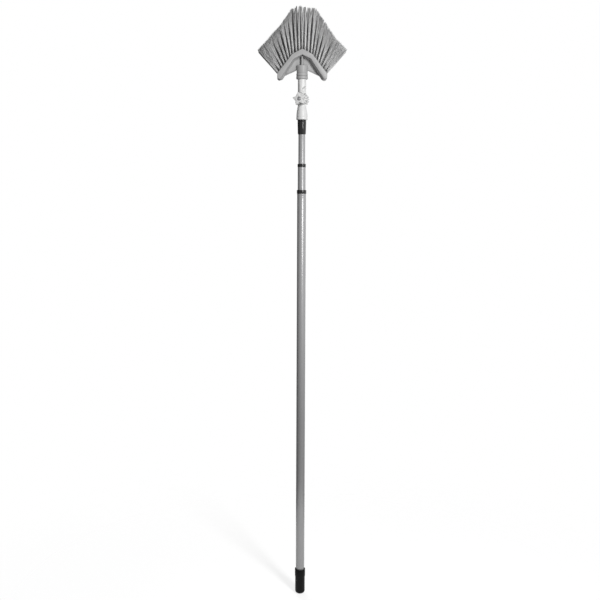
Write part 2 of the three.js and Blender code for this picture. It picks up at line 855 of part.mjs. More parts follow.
// One strand of three sides between two centres
function strand(base, tip) {
  const ring = (centre, radius) =>
    [0, 1, 2].map((k) => {
      const angle = (2 * Math.PI * k) / 3;
      return new THREE.Vector3(radius * Math.cos(angle), radius * Math.sin(angle), 0).add(centre);
    });
  return loft([ring(base, strand_base_radius), ring(tip, strand_tip_radius)]);
}

// One tuft of the right front quarter, at a place along the edge counted in tufts. Rows count from the
// middle of the block to the front. The tuft at the apex is shared with the left quarter.
function tuft(place, row, pitch) {
  const sides = Array.from({ length: strands_per_tuft_side }, (_, i) =>
    (2 * i) / (strands_per_tuft_side - 1) - 1,
  );
  const own_sides = sides.filter((across) => place > 0 || across > 0);
  return own_sides.flatMap((across) =>
    sides.map((deep) => {
      const foot = edgePoint(place * pitch + across * tuft_spread, slice_thickness * strand_sink_share);
      const end = tipPoint((place + (across * tip_spread_share) / 2) / tufts_per_side);
      const foot_y = deep * tuft_spread - (row + 1 / 2) * row_pitch;
      const end_y = (deep * tip_spread_share * tip_row_pitch) / 2 - (row + 1 / 2) * tip_row_pitch;
      return strand(new THREE.Vector3(foot.x, foot_y, foot.y), new THREE.Vector3(end.x, end_y, end.y));
    }),
  );
}

// The right front quarter of the fan with its slice of the block. The tufts of a row stand between
// those of the next, and the front row has one at the apex.
function bristleQuarter() {
  const half_gap = seat_gap / 2;
  const slice = plate(
    edgeBand(slice_thickness, 0, slice_end + seat_gap, half_gap),
    slice_rim + seat_gap - block_depth / 2,
    -half_gap,
  );
  const last_place = edge_length - slice_end - seat_gap - tuft_spread - strand_base_radius;
  const strands = [];
  for (let row = 0; row < rows_per_quarter; row += 1) {
    const first = ((rows_per_quarter - 1 - row) % 2) / 2;
    for (let place = first; place <= tufts_per_side; place += 1) {
      strands.push(...tuft(place, row, last_place / tufts_per_side));
    }
  }
  return joined(slice, mergeGeometries(strands));
}

// Assembly

function poleParts() {
  const crimps = [crimp_below_mouth, crimp_below_mouth + crimp_pitch];
  return [
    part("end_cap", endCap(), black_plastic),
    part("outer_tube", tube(outer_tube_od, outer_tube_length, crimps), aluminium, outer_tube_bottom),
    part(
      "lower_collar",
      collar(lower_collar_wall, lower_collar_height, outer_radius, middle_radius),
      black_plastic,
      lower_collar_bottom,
    ),
    part(
      "middle_tube",
      tube(middle_tube_od, middle_tube_top - middle_tube_bottom),
      aluminium,
      middle_tube_bottom,
    ),
    part(
      "upper_collar",
      collar(upper_collar_wall, upper_collar_height, middle_radius, inner_radius),
      black_plastic,
      upper_collar_bottom,
    ),
    part(
      "inner_tube",
      tube(inner_tube_od, inner_tube_top - inner_tube_bottom),
      aluminium,
      inner_tube_bottom,
    ),
    part("ferrule", ferrule(), black_plastic, ferrule_bottom),
  ];
}

function lockParts(name, bore, tube_radius, height) {
  return [
    part(`${name}_lock_plug`, lockPlug(tube_radius), lock_plastic, height),
    part(`${name}_lock_cone`, lockCone(bore), lock_plastic, height),
    part(`${name}_lock_sleeve`, lockSleeve(bore), lock_plastic, height),
  ];
}

function jointParts() {
  const joint = new THREE.Group();
  joint.position.z = joint_height;
  joint.rotation.z = -radians(joint_yaw);
  joint.add(
    part("lower_arm", lowerArm(), white_plastic),
    part("upper_arm", upperArm(), white_plastic),
    part("joint_bolt", jointBolt(), steel),
    part("joint_washer", jointWasher(), steel),
    part("clamp_knob", clampKnob(), white_plastic),
    part("knob_nut", knobNut(), steel),
  );
  return joint;
}

function headParts() {
  const head = new THREE.Group();
  head.position.z = apex_height;
  const quarter = bristleQuarter();
  const back_quarter = facingOut(quarter.clone().scale(1, -1, 1));
  head.add(
    part("head_block", headBlock(), grey_plastic),
    part("bristles_right_front", quarter, bristle),
    part("bristles_right_back", back_quarter, bristle),
    part("bristles_left_front", mirrored(quarter), bristle),
    part("bristles_left_back", mirrored(back_quarter), bristle),
  );
  return head;
}

const broom = new THREE.Group();
broom.add(
  ...poleParts(),
  ...lockParts("lower", outer_radius - tube_wall, middle_radius, middle_tube_bottom),
  ...lockParts("upper", middle_radius - tube_wall, inner_radius, inner_tube_bottom),
  jointParts(),
  headParts(),
);

export default broom;
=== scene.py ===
import math

import bpy
import numpy as np
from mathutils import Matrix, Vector


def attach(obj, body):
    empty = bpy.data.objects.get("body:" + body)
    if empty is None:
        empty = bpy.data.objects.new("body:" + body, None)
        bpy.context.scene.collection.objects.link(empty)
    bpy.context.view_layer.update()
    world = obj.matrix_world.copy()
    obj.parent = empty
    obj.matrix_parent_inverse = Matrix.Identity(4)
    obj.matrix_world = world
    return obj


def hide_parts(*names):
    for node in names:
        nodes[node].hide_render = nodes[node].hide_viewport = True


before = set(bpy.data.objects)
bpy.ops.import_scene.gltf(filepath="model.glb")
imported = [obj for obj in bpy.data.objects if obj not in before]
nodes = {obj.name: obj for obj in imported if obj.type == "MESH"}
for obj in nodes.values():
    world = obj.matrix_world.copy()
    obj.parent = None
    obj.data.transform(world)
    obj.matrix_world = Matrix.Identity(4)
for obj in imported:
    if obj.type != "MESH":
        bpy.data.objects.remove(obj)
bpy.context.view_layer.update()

# The looks of a telescopic broom with a triangular head. Lengths are in metres, +Z runs up the pole,
# -Y is the front and +X the viewer's right. Azimuths are degrees to the right of the front.
MM = 0.001
SEED = 7
BUNCH_SEED = 20

# Camera, fitted to the photograph's edges. Its frame is 600 pixels wide and high.
FRAME_PX = 600
FOCAL_PX = 878.8
CAMERA_DISTANCE = 2.5  # from the pole's centre line
CAMERA_HEIGHT = 1.2
CAMERA_PITCH = 7.243  # degrees below level
CAMERA_AZIMUTH = -1.0
CAMERA_CLIP_END = 100
AXIS_PX = 301.15  # the pole's centre line at the frame's middle row
POLE_LEAN = 0.235  # degrees that the pole leans to the right in the frame

# Head block, from its apex down, as the solids have it
APEX_Z = 1580.3 * MM
BLOCK_DEPTH = 42 * MM
ROOF_HALF_WIDTH = 28 * MM
ROOF_DROP = 14.2 * MM
ARM_REACH = 69 * MM
ARM_DROP = 66.3 * MM

# Slice of the block that carries the bristles in the solids, and the collars round the tufts in it
SLICE_RIM = 2.5 * MM  # the block's rim before and behind it
SLICE_END = 1.6 * MM  # from the arm's end
SLICE_THICKNESS = 3 * MM
HAIRLINE = 0.05 * MM  # between the bed that is drawn here and the rims
COLLAR_RADIUS = 2.9 * MM
COLLAR_RISE = 0.35 * MM
COLLAR_PROFILE = ((1, -0.2), (0.93, 1.0), (0.78, 1.0), (0.72, -0.2))  # shares of its radius and its rise
COLLAR_SIDES = 16

# Tufts, and the line that their tips are trimmed to. The keys 1 and -1 are the right and left halves.
TUFTS_PER_SIDE = 10
ROWS_PER_QUARTER = 2
TUFT_END = 3.4 * MM  # from the arm's end to the last tuft's centre
TUFT_RADIUS = 2.1 * MM
ROW_PITCH = 9.4 * MM
TIP_ROW_PITCH = 16 * MM
TIP_HALF_WIDTH = 119.5 * MM
TIP_DEPTH = 29.2 * MM
TIP_DEPTH_SHARES = (0.86, 1)  # of it, where the foremost and rearmost tips are cut off
TIP_CORNER_RISES = {1: 2.5 * MM, -1: 1 * MM}
TIP_RISE = 115 * MM
TIP_SAGS = {1: 8 * MM, -1: 5 * MM}
TIP_SHARES = (-0.04, 1.03)  # how far the tips may reach, of the way from the crown's centre to the corner
CROWN_HALF_WIDTHS = {1: 38 * MM, -1: 29 * MM}
CROWN_DROP = 5 * MM

# Filaments. A tuft's share of the fan is the unit of places, spreads, leans and jitter.
FILAMENTS_PER_TUFT = 128
FILAMENT_RADIUS = 0.32 * MM
FILAMENT_RADIUS_SHARES = (0.8, 1.15)
FILAMENT_STEPS = 6
SPREAD_PLACES = (0, 2, 6, 9)
TIP_SPREADS = {1: (0.5, 0.6, 0.66, 0.9), -1: (0.52, 0.5, 0.55, 0.85)}
TIP_JITTER = 0.08
TUFT_LEAN = 0.12
TUFT_PULL = 0.35  # how closely a tuft's filaments keep together half way up
END_TUFTS = TUFTS_PER_SIDE - 1  # the tufts from here on neither lean nor keep together
GATHERS = (0.5, 0.36, 0.08, 0)  # how closely the tips gather in bunches, at SPREAD_PLACES
GATHER_SHARES = (0.2, 1.5)  # of that, from bunch to bunch
GATHER_BEND = 5  # higher keeps the gathering nearer the tips
BUNCH_SHORTFALL = 3 * MM
TUFT_SHORTFALL = 0.03  # of the length, as the next
LENGTH_SPREAD = 0.05
# each tuft's random tone, right and left; the left half's range is set lower as painted shade, for the side
# that the light reaches less
TUFT_TONES_LEFT_PAINTED_DARKER = {1: (0.9, 1.08), -1: (0.78, 0.98)}
WAVE = 0.55 * MM
WAVE_TURNS = 1.1

# Edges of the CAD nodes
WELD_DISTANCE = 0.002 * MM
SHARP_ANGLE = 32
EDGE_SEGMENTS = 2

# Marks in the materials: the size, detail, stretch and roughness of their noise
NOISE_BAND = (0.3, 0.7)  # where most of a noise's values lie
GRAIN = {"size": 0.35 * MM, "detail": 2.0}
SINK = {"size": 9 * MM, "detail": 2.0}
FLOW = {"size": 5 * MM, "detail": 4.0, "stretch": (1, 1, 5)}
DRAWN_LINES = {"size": 0.35 * MM, "detail": 3.0, "stretch": (1, 1, 260)}
HANDLING = {"size": 14 * MM, "detail": 5.0, "stretch": (1, 1, 3), "roughness": 0.65}
HANDLING_BAND = (0.35, 0.7)
BLOTCHES = {"size": 1.5 * MM, "detail": 4.0}
TURNING = {"size": 0.25 * MM, "detail": 2.0}

# Moulded plastic: how far its marks move the colour and the roughness, and its bumps' height and strength
SINK_TINTS = (-0.05, 0.04)
FLOW_TINTS = (-0.04, 0.03)
FLOW_GLOSS = (-0.06, 0.08)
SINK_BUMP = (0.12 * MM, 0.35)
GRAIN_BUMP = (0.03 * MM, 0.5)

# Metals and filaments: how their marks scale the colour, their roughness, and their bumps as above
STREAK_TINTS = (0.95, 1.04)
HANDLING_TINTS = (1.0, 0.96)
TUBE_GLOSS = (0.27, 0.34)
TUBE_BUMP = (0.01 * MM, 0.3)
TUBE_ANISOTROPY = 0.3
BLOTCH_TINTS = (0.88, 1.08)
STEEL_GLOSS = (0.22, 0.36)
STEEL_BUMP = (0.02 * MM, 0.5)
FILAMENT_TINTS = (0.86, 1.1)
# painted light: filaments lighter at the roots than at the tips, against the shade that falls between the
# tufts
ROOT_PAINTED_LIGHT_TINTS = (1.15, 1.02)

# Head block's shading: edges rounded less at the socket than on the arms, and painted shade that darkens its
# grooves and inner corners by ambient occlusion
SOCKET_REACH = 17 * MM
SOCKET_EDGE = 0.3 * MM
ARM_EDGE = 2 * MM
EDGE_BLEND = 2 * MM
EDGE_SAMPLES = 6
PAINTED_SHADE_REACH = 6 * MM
PAINTED_SHADE_BAND = (0.35, 0.95)
PAINTED_SHADE_LEVEL = 0.4

# Light
SURROUND = 0.22
FLOOR_COLOR = (0.45, 0.45, 0.45)
FLOOR_ROUGHNESS = 0.9
FLOOR_GLOW = 0.72
FLOOR_SOLID = 0.3  # from the foot to where the floor starts to fade
FLOOR_EDGE = 1.3
FLOOR_GAP = 0.5 * MM  # below the foot
STRIP_AZIMUTH = 27
STRIP_DISTANCE = 2.2
STRIP_HEIGHT = 1.66
CARD_DISTANCE = 0.5
CARD_FOOT = -0.4
CARD_BEND = 0.35  # height from which the low card turns into the high one
CARD_TOP = 0.9
LOW_AZIMUTHS = (-180, -105, -70, -40, -12, 20, 50, 180)
LOW_LEVELS = (0.04, 0.04, 0.05, 0.08, 0.14, 0.22, 0.3, 0.4)
LOW_COLUMNS, LOW_ROWS = 37, 9
HIGH_AZIMUTHS = (-180, -75, -50, 15, 25)
HIGH_LEVELS = (0.12, 0.16, 0.56, 0.58, 1)
HIGH_COLUMNS = 14
HIGH_TOP = 2.6

scene = bpy.context.scene


# Head outline, in the XZ plane with the apex at the origin

APEX = np.array([0.0, 0.0])
SHOULDER = np.array([ROOF_HALF_WIDTH, -ROOF_DROP])
ARM_END = np.array([ARM_REACH, -ARM_DROP])
ROOF_LENGTH = float(np.linalg.norm(SHOULDER - APEX))
ARM_LENGTH = float(np.linalg.norm(ARM_END - SHOULDER))
EDGE_LENGTH = ROOF_LENGTH + ARM_LENGTH


def outward(start, end):
    """Unit vector square to a stretch of the edge, out of the block."""
    along = (end - start) / np.linalg.norm(end - start)
    return np.array([-along[1], along[0]])


ROOF_OUT = outward(APEX, SHOULDER)
ARM_OUT = outward(SHOULDER, ARM_END)


def edge_point(distance, inset):
    """Points of the block's outer edge at distances from the apex, moved inwards by inset."""
    distance = np.asarray(distance, float)[..., None]
    on_roof = distance < ROOF_LENGTH
    roof = APEX + (SHOULDER - APEX) * distance / ROOF_LENGTH - ROOF_OUT * inset
    arm = SHOULDER + (ARM_END - SHOULDER) * (distance - ROOF_LENGTH) / ARM_LENGTH - ARM_OUT * inset
    return np.where(on_roof, roof, arm)


def mitre(inset):
    """The block's edge at the shoulder, moved inwards by inset."""
    half = (ROOF_OUT + ARM_OUT) / np.linalg.norm(ROOF_OUT + ARM_OUT)
    return SHOULDER - half * inset / float(half @ ROOF_OUT)


def tip_point(place, side):
    """Points of the trimmed tips on one side, at places counted in tufts from the crown's centre."""
    share = np.clip(place / TUFTS_PER_SIDE, *TIP_SHARES)
    crown = CROWN_HALF_WIDTHS[side] / TIP_HALF_WIDTH
    top = TIP_RISE - CROWN_DROP * (share / crown) ** 2
    along = (share - crown) / (1 - crown)
    slope = TIP_RISE - CROWN_DROP + (TIP_CORNER_RISES[side] - TIP_RISE + CROWN_DROP) * along
    slope -= TIP_SAGS[side] * np.sin(math.pi * along)
    return np.stack([share * TIP_HALF_WIDTH, np.where(share < crown, top, slope)], -1)


# Mesh helpers


def new_object(name, verts, faces, smooth=True):
    mesh = bpy.data.meshes.new(name)
    mesh.from_pydata([tuple(v) for v in verts], [], [tuple(f) for f in faces])
    mesh.update()
    mesh.polygons.foreach_set("use_smooth", [smooth] * len(mesh.polygons))
    ob = bpy.data.objects.new(name, mesh)
    scene.collection.objects.link(ob)
    return ob


def add_values(ob, name, values):
    """Gives each point of a mesh a value that its material reads."""
    ob.data.attributes.new(name, "FLOAT", "POINT").data.foreach_set("value", values)


def refine(name, edge):
    """Rounds a CAD node's sharp edges by edge, if any, and shades its curved faces smooth."""
    ob = nodes[name]
    ob.data.polygons.foreach_set("use_smooth", [True] * len(ob.data.polygons))
    normals = ob.data.attributes.get("custom_normal")
    if normals:
        ob.data.attributes.remove(normals)
    ob.modifiers.new("weld", "WELD").merge_threshold = WELD_DISTANCE
    if edge:
        bevel = ob.modifiers.new("edges", "BEVEL")
        bevel.width = edge
        bevel.segments = EDGE_SEGMENTS
        bevel.limit_method = "ANGLE"
        bevel.angle_limit = math.radians(SHARP_ANGLE)
    ob.modifiers.new("shading", "EDGE_SPLIT").split_angle = math.radians(SHARP_ANGLE)


# Node helpers


class Nodes:
    """The nodes of a material or the world, with short calls for the ones used here."""

    def __init__(self, owner):
        owner.use_nodes = True
        self.nodes = owner.node_tree.nodes
        self.links = owner.node_tree.links

    def feed(self, socket, value):
        """Sets a socket to a plain value, or links an output to it."""
        if isinstance(value, bpy.types.NodeSocket):
            self.links.new(value, socket)
        else:
            socket.default_value = value

    def fill(self, node, *values, **named):
        """Feeds a node's first sockets, and others by their names, with _ for a space."""
        for socket, value in zip(node.inputs, values):
            self.feed(socket, value)
        for name, value in named.items():
            self.feed(node.inputs[name.replace("_", " ")], value)
        return node

    def add(self, kind, *values, **named):
        return self.fill(self.nodes.new("ShaderNode" + kind), *values, **named)

    def math(self, operation, *values):
        node = self.add("Math", *values)
        node.operation = operation
        return node.outputs[0]

    def ramp(self, value, band, levels):
        """Maps a value from one band to another, held at the ends."""
        low, high = band
        to_low, to_high = levels
        node = self.add("MapRange", Value=value, From_Min=low, From_Max=high, To_Min=to_low, To_Max=to_high)
        return node.outputs["Result"]

    def attribute(self, name):
        node = self.add("Attribute")
        node.attribute_name = name
        return node.outputs["Fac"]

    def seen_directly(self):
        """1 for rays that should meet a white surround: the camera's, and those of metal, gloss or glass."""
        rays = self.add("LightPath").outputs
        either = self.math("MAXIMUM", rays["Is Camera Ray"], rays["Is Glossy Ray"])
        return self.math("MAXIMUM", either, rays["Is Transmission Ray"])


class Surface(Nodes):
    """A material's nodes round its Principled BSDF.

    The plain colour and roughness also stay in its sockets, for viewers that don't follow the links.
    """

    def __init__(self, name, color, roughness, metallic=0.0, specular=0.5):
        self.material = bpy.data.materials.new(name)
        super().__init__(self.material)
        self.color = (*color, 1)
        self.bsdf = self.nodes["Principled BSDF"]
        self.fill(self.bsdf, Base_Color=self.color, Roughness=roughness, Metallic=metallic,
                  Specular_IOR_Level=specular)
        self.place = self.add("TexCoord").outputs["Object"]

    def noise(self, size, detail, stretch=(1, 1, 1), roughness=0.5):
        """Noise whose blotches are about size across, drawn out along each axis by stretch."""
        mapping = self.add("Mapping", Vector=self.place, Scale=[1 / (size * s) for s in stretch])
        noise = self.add("TexNoise", Vector=mapping.outputs["Vector"], Scale=1.0, Detail=detail,
                         Roughness=roughness)
        return noise.outputs["Fac"]

    def tint(self, level):
        """Makes the base colour the plain colour times a level."""
        node = self.add("Mix")
        node.data_type = "RGBA"
        node.blend_type = "MULTIPLY"
        self.fill(node, Factor=1.0, A=self.color, B=level)
        self.feed(self.bsdf.inputs["Base Color"], node.outputs["Result"])

    def bump(self, height, distance, strength, under=None):
        node = self.add("Bump", Height=height, Distance=distance, Strength=strength)
        if under:
            self.feed(node.inputs["Normal"], under)
        return node.outputs["Normal"]

    def finish(self, roughness, normal):
        self.fill(self.bsdf, Roughness=roughness, Normal=normal)
        return self.material


# Materials


def block_edges(tree):
    """The head block's edge radius: slight at the socket and full on the arms."""
    apart = tree.add("SeparateXYZ", tree.place)
    off_centre = tree.math("ABSOLUTE", apart.outputs["X"])
    return tree.ramp(off_centre, (SOCKET_REACH, SOCKET_REACH + EDGE_BLEND), (SOCKET_EDGE, ARM_EDGE))


def moulded_plastic(name, color, roughness, marks=1.0, specular=0.5, edges=None):
    """Moulded plastic: fine grain, slight sink and flow marks, and uneven gloss. marks is their strength.

    edges, if given, makes a socket with the radius that the edges are shaded round with, and then painted
    shade darkens the colour in the grooves and inner corners by ambient occlusion.
    """
    def around(middle, swings):
        return [middle + swing * marks for swing in swings]

    tree = Surface(name, color, roughness, specular=specular)
    grain, sink, flow = tree.noise(**GRAIN), tree.noise(**SINK), tree.noise(**FLOW)
    sunk = tree.ramp(sink, NOISE_BAND, around(1, SINK_TINTS))
    flowed = tree.ramp(flow, NOISE_BAND, around(1, FLOW_TINTS))
    level = tree.math("MULTIPLY", sunk, flowed)
    normal = None
    if edges:
        rounding = tree.add("Bevel", Radius=edges(tree))
        rounding.samples = EDGE_SAMPLES
        normal = rounding.outputs["Normal"]
        # painted shade: ambient occlusion darkens the colour in grooves and inner corners, where shade falls
        painted_shade_ao = tree.add("AmbientOcclusion", Distance=PAINTED_SHADE_REACH).outputs["AO"]
        level = tree.math("MULTIPLY", level, tree.ramp(painted_shade_ao, PAINTED_SHADE_BAND, (PAINTED_SHADE_LEVEL, 1.0)))
    tree.tint(level)
    for height, (distance, strength) in ((sink, SINK_BUMP), (grain, GRAIN_BUMP)):
        normal = tree.bump(height, distance, strength * marks, normal)
    return tree.finish(tree.ramp(flow, NOISE_BAND, around(roughness, FLOW_GLOSS)), normal)


def drawn_aluminium(name, color):
    """Drawn tube: long fine lines, faint handling marks and a satin gloss."""
    tree = Surface(name, color, roughness=0.3, metallic=0.35)
    lines, handling = tree.noise(**DRAWN_LINES), tree.noise(**HANDLING)
    streaks = tree.ramp(lines, NOISE_BAND, STREAK_TINTS)
    smudges = tree.ramp(handling, HANDLING_BAND, HANDLING_TINTS)
    tree.tint(tree.math("MULTIPLY", streaks, smudges))
    tree.fill(tree.bsdf, Anisotropic=TUBE_ANISOTROPY)
    return tree.finish(tree.ramp(handling, HANDLING_BAND, TUBE_GLOSS), tree.bump(lines, *TUBE_BUMP))


def plated_steel(name, color):
    """Zinc-plated steel: blotches of colour and gloss over fine turning marks."""
    tree = Surface(name, color, roughness=0.28, metallic=1.0)
    blotches, turning = tree.noise(**BLOTCHES), tree.noise(**TURNING)
    tree.tint(tree.ramp(blotches, NOISE_BAND, BLOTCH_TINTS))
    return tree.finish(tree.ramp(blotches, NOISE_BAND, STEEL_GLOSS), tree.bump(turning, *STEEL_BUMP))


def extruded_filament(name, color):
    """Extruded filaments: each of its own tone and its tuft's, with the left half's tufts darker as painted
    shade, and painted light that makes them a little lighter at the roots.
    """
    tree = Surface(name, color, roughness=0.42, specular=0.35)
    own = tree.ramp(tree.add("NewGeometry").outputs["Random Per Island"], (0, 1), FILAMENT_TINTS)
    # painted light: the colour is raised towards the roots, against the shade between the tufts
    rise = tree.ramp(tree.attribute("along"), (0, 1), ROOT_PAINTED_LIGHT_TINTS)
    tree.tint(tree.math("MULTIPLY", own, tree.math("MULTIPLY", rise, tree.attribute("shade"))))
    return tree.material


BLACK = moulded_plastic("black_plastic", (0.006, 0.006, 0.0062), roughness=0.15, marks=0.35, specular=0.55)
DULL = moulded_plastic("dull_black_plastic", (0.008, 0.008, 0.0082), roughness=0.5, specular=0.12)
WHITE = moulded_plastic("white_plastic", (0.71, 0.71, 0.707), roughness=0.34, marks=0.35)
# grey plastic, with painted shade in the head block's grooves and inner corners
GREY = moulded_plastic("grey_plastic", (0.39, 0.39, 0.39), roughness=0.42, marks=0.7, edges=block_edges)
LOCK = moulded_plastic("lock_plastic", (0.05, 0.05, 0.05), roughness=0.5)
ALUMINIUM = drawn_aluminium("aluminium", (0.38, 0.38, 0.384))
STEEL = plated_steel("steel", (0.55, 0.55, 0.56))
BRISTLE = extruded_filament("bristle", (0.58, 0.58, 0.58))


# CAD nodes, each with its material and how many millimetres its sharp edges are rounded by

FINISHES = {
    "end_cap": (DULL, 0.4),
    "lower_collar": (BLACK, 0.25),
    "upper_collar": (BLACK, 0.25),
    "ferrule": (BLACK, 0.15),
    "lower_arm": (WHITE, 0.35),
    "upper_arm": (WHITE, 0.35),
    "clamp_knob": (WHITE, 0.5),
    "head_block": (GREY, 0.35),
    "outer_tube": (ALUMINIUM, 0.12),
    "middle_tube": (ALUMINIUM, 0.12),
    "inner_tube": (ALUMINIUM, 0.12),
    "joint_bolt": (STEEL, 0.15),
    "joint_washer": (STEEL, 0.15),
    "knob_nut": (STEEL, 0.15),
    "lower_lock_plug": (LOCK, 0),
    "lower_lock_cone": (LOCK, 0),
    "lower_lock_sleeve": (LOCK, 0),
    "upper_lock_plug": (LOCK, 0),
    "upper_lock_cone": (LOCK, 0),
    "upper_lock_sleeve": (LOCK, 0),
}


def dress_nodes():
    for name, (material, edge) in FINISHES.items():
        refine(name, edge * MM)
        nodes[name].data.materials.clear()
        nodes[name].data.materials.append(material)


# Bristles


def tuft_places():
    """Tufts of one quarter: place along the edge counted in tufts, row, and distance from the apex.

    Row 0 is next to the middle of the block. The tufts of a row stand between those of the next, and the
    outer row has one at the apex.
    """
    for row in range(ROWS_PER_QUARTER):
        first = (ROWS_PER_QUARTER - 1 - row) % 2 / 2
        for place in np.arange(first, TUFTS_PER_SIDE + 0.1):  # the last place counts too
            yield place, row, (EDGE_LENGTH - TUFT_END) * place / TUFTS_PER_SIDE


def sunflower(count, rng):
    """Evenly spread points in a unit disc."""
    i = np.arange(count) + 0.5
    radius = np.sqrt(i / count)
    angle = i * math.pi * (3 - math.sqrt(5)) + rng.uniform(0, 2 * math.pi)
    return radius * np.cos(angle), radius * np.sin(angle)


def tip_bunches(side):
    """How strongly each bunch of tips gathers and how far it falls short, alike in all rows."""
    count = TUFTS_PER_SIDE + 1
    rng = np.random.default_rng(BUNCH_SEED + side)
    gathers = rng.uniform(*GATHER_SHARES, count)
    return gathers, rng.uniform(0, BUNCH_SHORTFALL, count) * np.linspace(1, 0, count)


def tuft_ends(side, place, row, distance, bunches, rng):
    """Roots and tips of a tuft's filaments, and how far its bunch draws each tip aside in XZ."""
    gathers, shortfalls = bunches
    across, deep = sunflower(FILAMENTS_PER_TUFT, rng)
    if place == 0:  # the other side has the rest of the tuft at the apex
        across, deep = across[across > 0], deep[across > 0]
    count = len(across)
    root_xz = edge_point(distance + across * TUFT_RADIUS, SLICE_THICKNESS / 2)
    root_y = (row + 0.5) * ROW_PITCH + deep * TUFT_RADIUS
    jitter = rng.normal(0, TIP_JITTER, (2, count))
    spread = np.interp(place, SPREAD_PLACES, TIP_SPREADS[side])
    lean = rng.normal(0, TUFT_LEAN) if 0 < place < END_TUFTS else 0
    fanned = place + lean + (across + jitter[0]) * spread
    bunch = np.clip(np.floor(fanned), 0, TUFTS_PER_SIDE).astype(int)
    gathered = fanned + (bunch + 0.5 - fanned) * gathers[bunch] * np.interp(place, SPREAD_PLACES, GATHERS)
    drawn_xz = tip_point(gathered, side)
    drawn_xz[:, 1] -= shortfalls[bunch]
    tip_xz = tip_point(fanned, side)
    tip_y = (row + 0.5 + (deep + jitter[1]) * spread) * TIP_ROW_PITCH
    tip_y = np.minimum(tip_y, TIP_DEPTH * rng.uniform(*TIP_DEPTH_SHARES, count))
    roots = np.stack([root_xz[:, 0], root_y, root_xz[:, 1]], -1)
    tips = np.stack([tip_xz[:, 0], tip_y, tip_xz[:, 1]], -1)
    return roots, tips, drawn_xz - tip_xz


def tuft_paths(place, roots, tips, aside, rng):
    """Centre lines of a tuft's filaments, of uneven length and slightly wavy."""
    count = len(roots)
    middle = (roots.mean(0) + tips.mean(0)) / 2
    length = 1 - rng.uniform(0, LENGTH_SPREAD, (count, 1, 1)) - rng.uniform(0, TUFT_SHORTFALL)
    pull = (middle - (roots + tips) / 2)[:, None, :] * (TUFT_PULL if place < END_TUFTS else 0)
    s = np.linspace(0, 1, FILAMENT_STEPS + 1)[None, :, None] * length
    path = roots[:, None, :] * (1 - s) + tips[:, None, :] * s + pull * 4 * s * (1 - s)
    wave = rng.normal(0, 1, (count, 1, 3)) * WAVE
    phase = rng.uniform(0, 2 * math.pi, (count, 1, 1))
    path = path + wave * s * np.sin(s * 2 * math.pi * WAVE_TURNS + phase)
    path[:, :, ::2] += aside[:, None, :] * s ** GATHER_BEND
    return path


def filament_paths(side, front, rng):
    """Centre lines of a quarter's filaments, as an array of [filament, step, xyz], and each filament's tuft
    tone, set lower on the left half as painted shade.
    """
    bunches = tip_bunches(side)
    paths, tuft_tones_with_painted_shade = [], []
    for place, row, distance in tuft_places():
        roots, tips, aside = tuft_ends(side, place, row, distance, bunches, rng)
        paths.append(tuft_paths(place, roots, tips, aside, rng))
        # each tuft's random tone, taken lower on the left half as painted shade
        tuft_tones_with_painted_shade.append(np.full(len(roots), rng.uniform(*TUFT_TONES_LEFT_PAINTED_DARKER[side])))
    path = np.concatenate(paths)
    path[:, :, 0] *= side
    path[:, :, 1] *= -front
    path[:, :, 2] += APEX_Z
    return path, np.concatenate(tuft_tones_with_painted_shade)


def filaments(name, side, front, seed):
    """One quarter of the fan: three-sided filaments with closed ends."""
    rng = np.random.default_rng(seed)
    path, tuft_tones_with_painted_shade = filament_paths(side, front, rng)
    count, rings = path.shape[:2]
    along = path[:, -1] - path[:, 0]
    along /= np.linalg.norm(along, axis=1, keepdims=True)
    first = np.cross(along, [0.0, 1.0, 0.0])
    first /= np.linalg.norm(first, axis=1, keepdims=True)
    second = np.cross(along, first)
    turn = rng.uniform(0, 2 * math.pi, count)
    radius = FILAMENT_RADIUS * rng.uniform(*FILAMENT_RADIUS_SHARES, count)
    verts = np.empty((count, rings, 3, 3))
    for k in range(3):
        angle = turn + 2 * math.pi * k / 3
        offset = (first * np.cos(angle)[:, None] + second * np.sin(angle)[:, None]) * radius[:, None]
        verts[:, :, k] = path + offset[:, None, :]
    base = (np.arange(count) * rings * 3)[:, None, None, None]
    ring = (np.arange(rings - 1) * 3)[None, :, None, None]
    corner = np.array([[0, 1, 4, 3], [1, 2, 5, 4], [2, 0, 3, 5]])[None, None]
    sides = (base + ring + corner).reshape(-1, 4)
    start = base.reshape(-1, 1)
    end = start + (rings - 1) * 3
    faces = [*sides.tolist(), *(start + [[2, 1, 0]]).tolist(), *(end + [[0, 1, 2]]).tolist()]
    ob = new_object(name, verts.reshape(-1, 3), faces)
    add_values(ob, "along", np.tile(np.repeat(np.linspace(0, 1, rings), 3), count))
    # each tuft's tone, lower on the left half as painted shade
    add_values(ob, "shade", np.repeat(tuft_tones_with_painted_shade, rings * 3))
    ob.data.materials.append(BRISTLE)
    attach(ob, "head")
    return ob


def make_bristles():
    quarters = {
        "right_front": (1, 1),
        "right_back": (1, -1),
        "left_front": (-1, 1),
        "left_back": (-1, -1),
    }
    for i, (quarter, (side, front)) in enumerate(quarters.items()):
        ob = filaments("filaments_" + quarter, side, front, SEED + i)
        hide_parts("bristles_" + quarter)


def collar_points(row, distance):
    """Rings of a tuft's collar, as for the right side, with Y towards the quarter's own face."""
    out = ROOF_OUT if distance < ROOF_LENGTH else ARM_OUT
    along = np.array([out[1], -out[0]])
    centre = edge_point(distance, 0)
    for share, rise in COLLAR_PROFILE:
        radius = COLLAR_RADIUS * share
        for k in range(COLLAR_SIDES):
            angle = 2 * math.pi * k / COLLAR_SIDES
            x, z = centre + along * radius * math.cos(angle) + out * COLLAR_RISE * rise
            yield x, (row + 0.5) * ROW_PITCH + radius * math.sin(angle), z


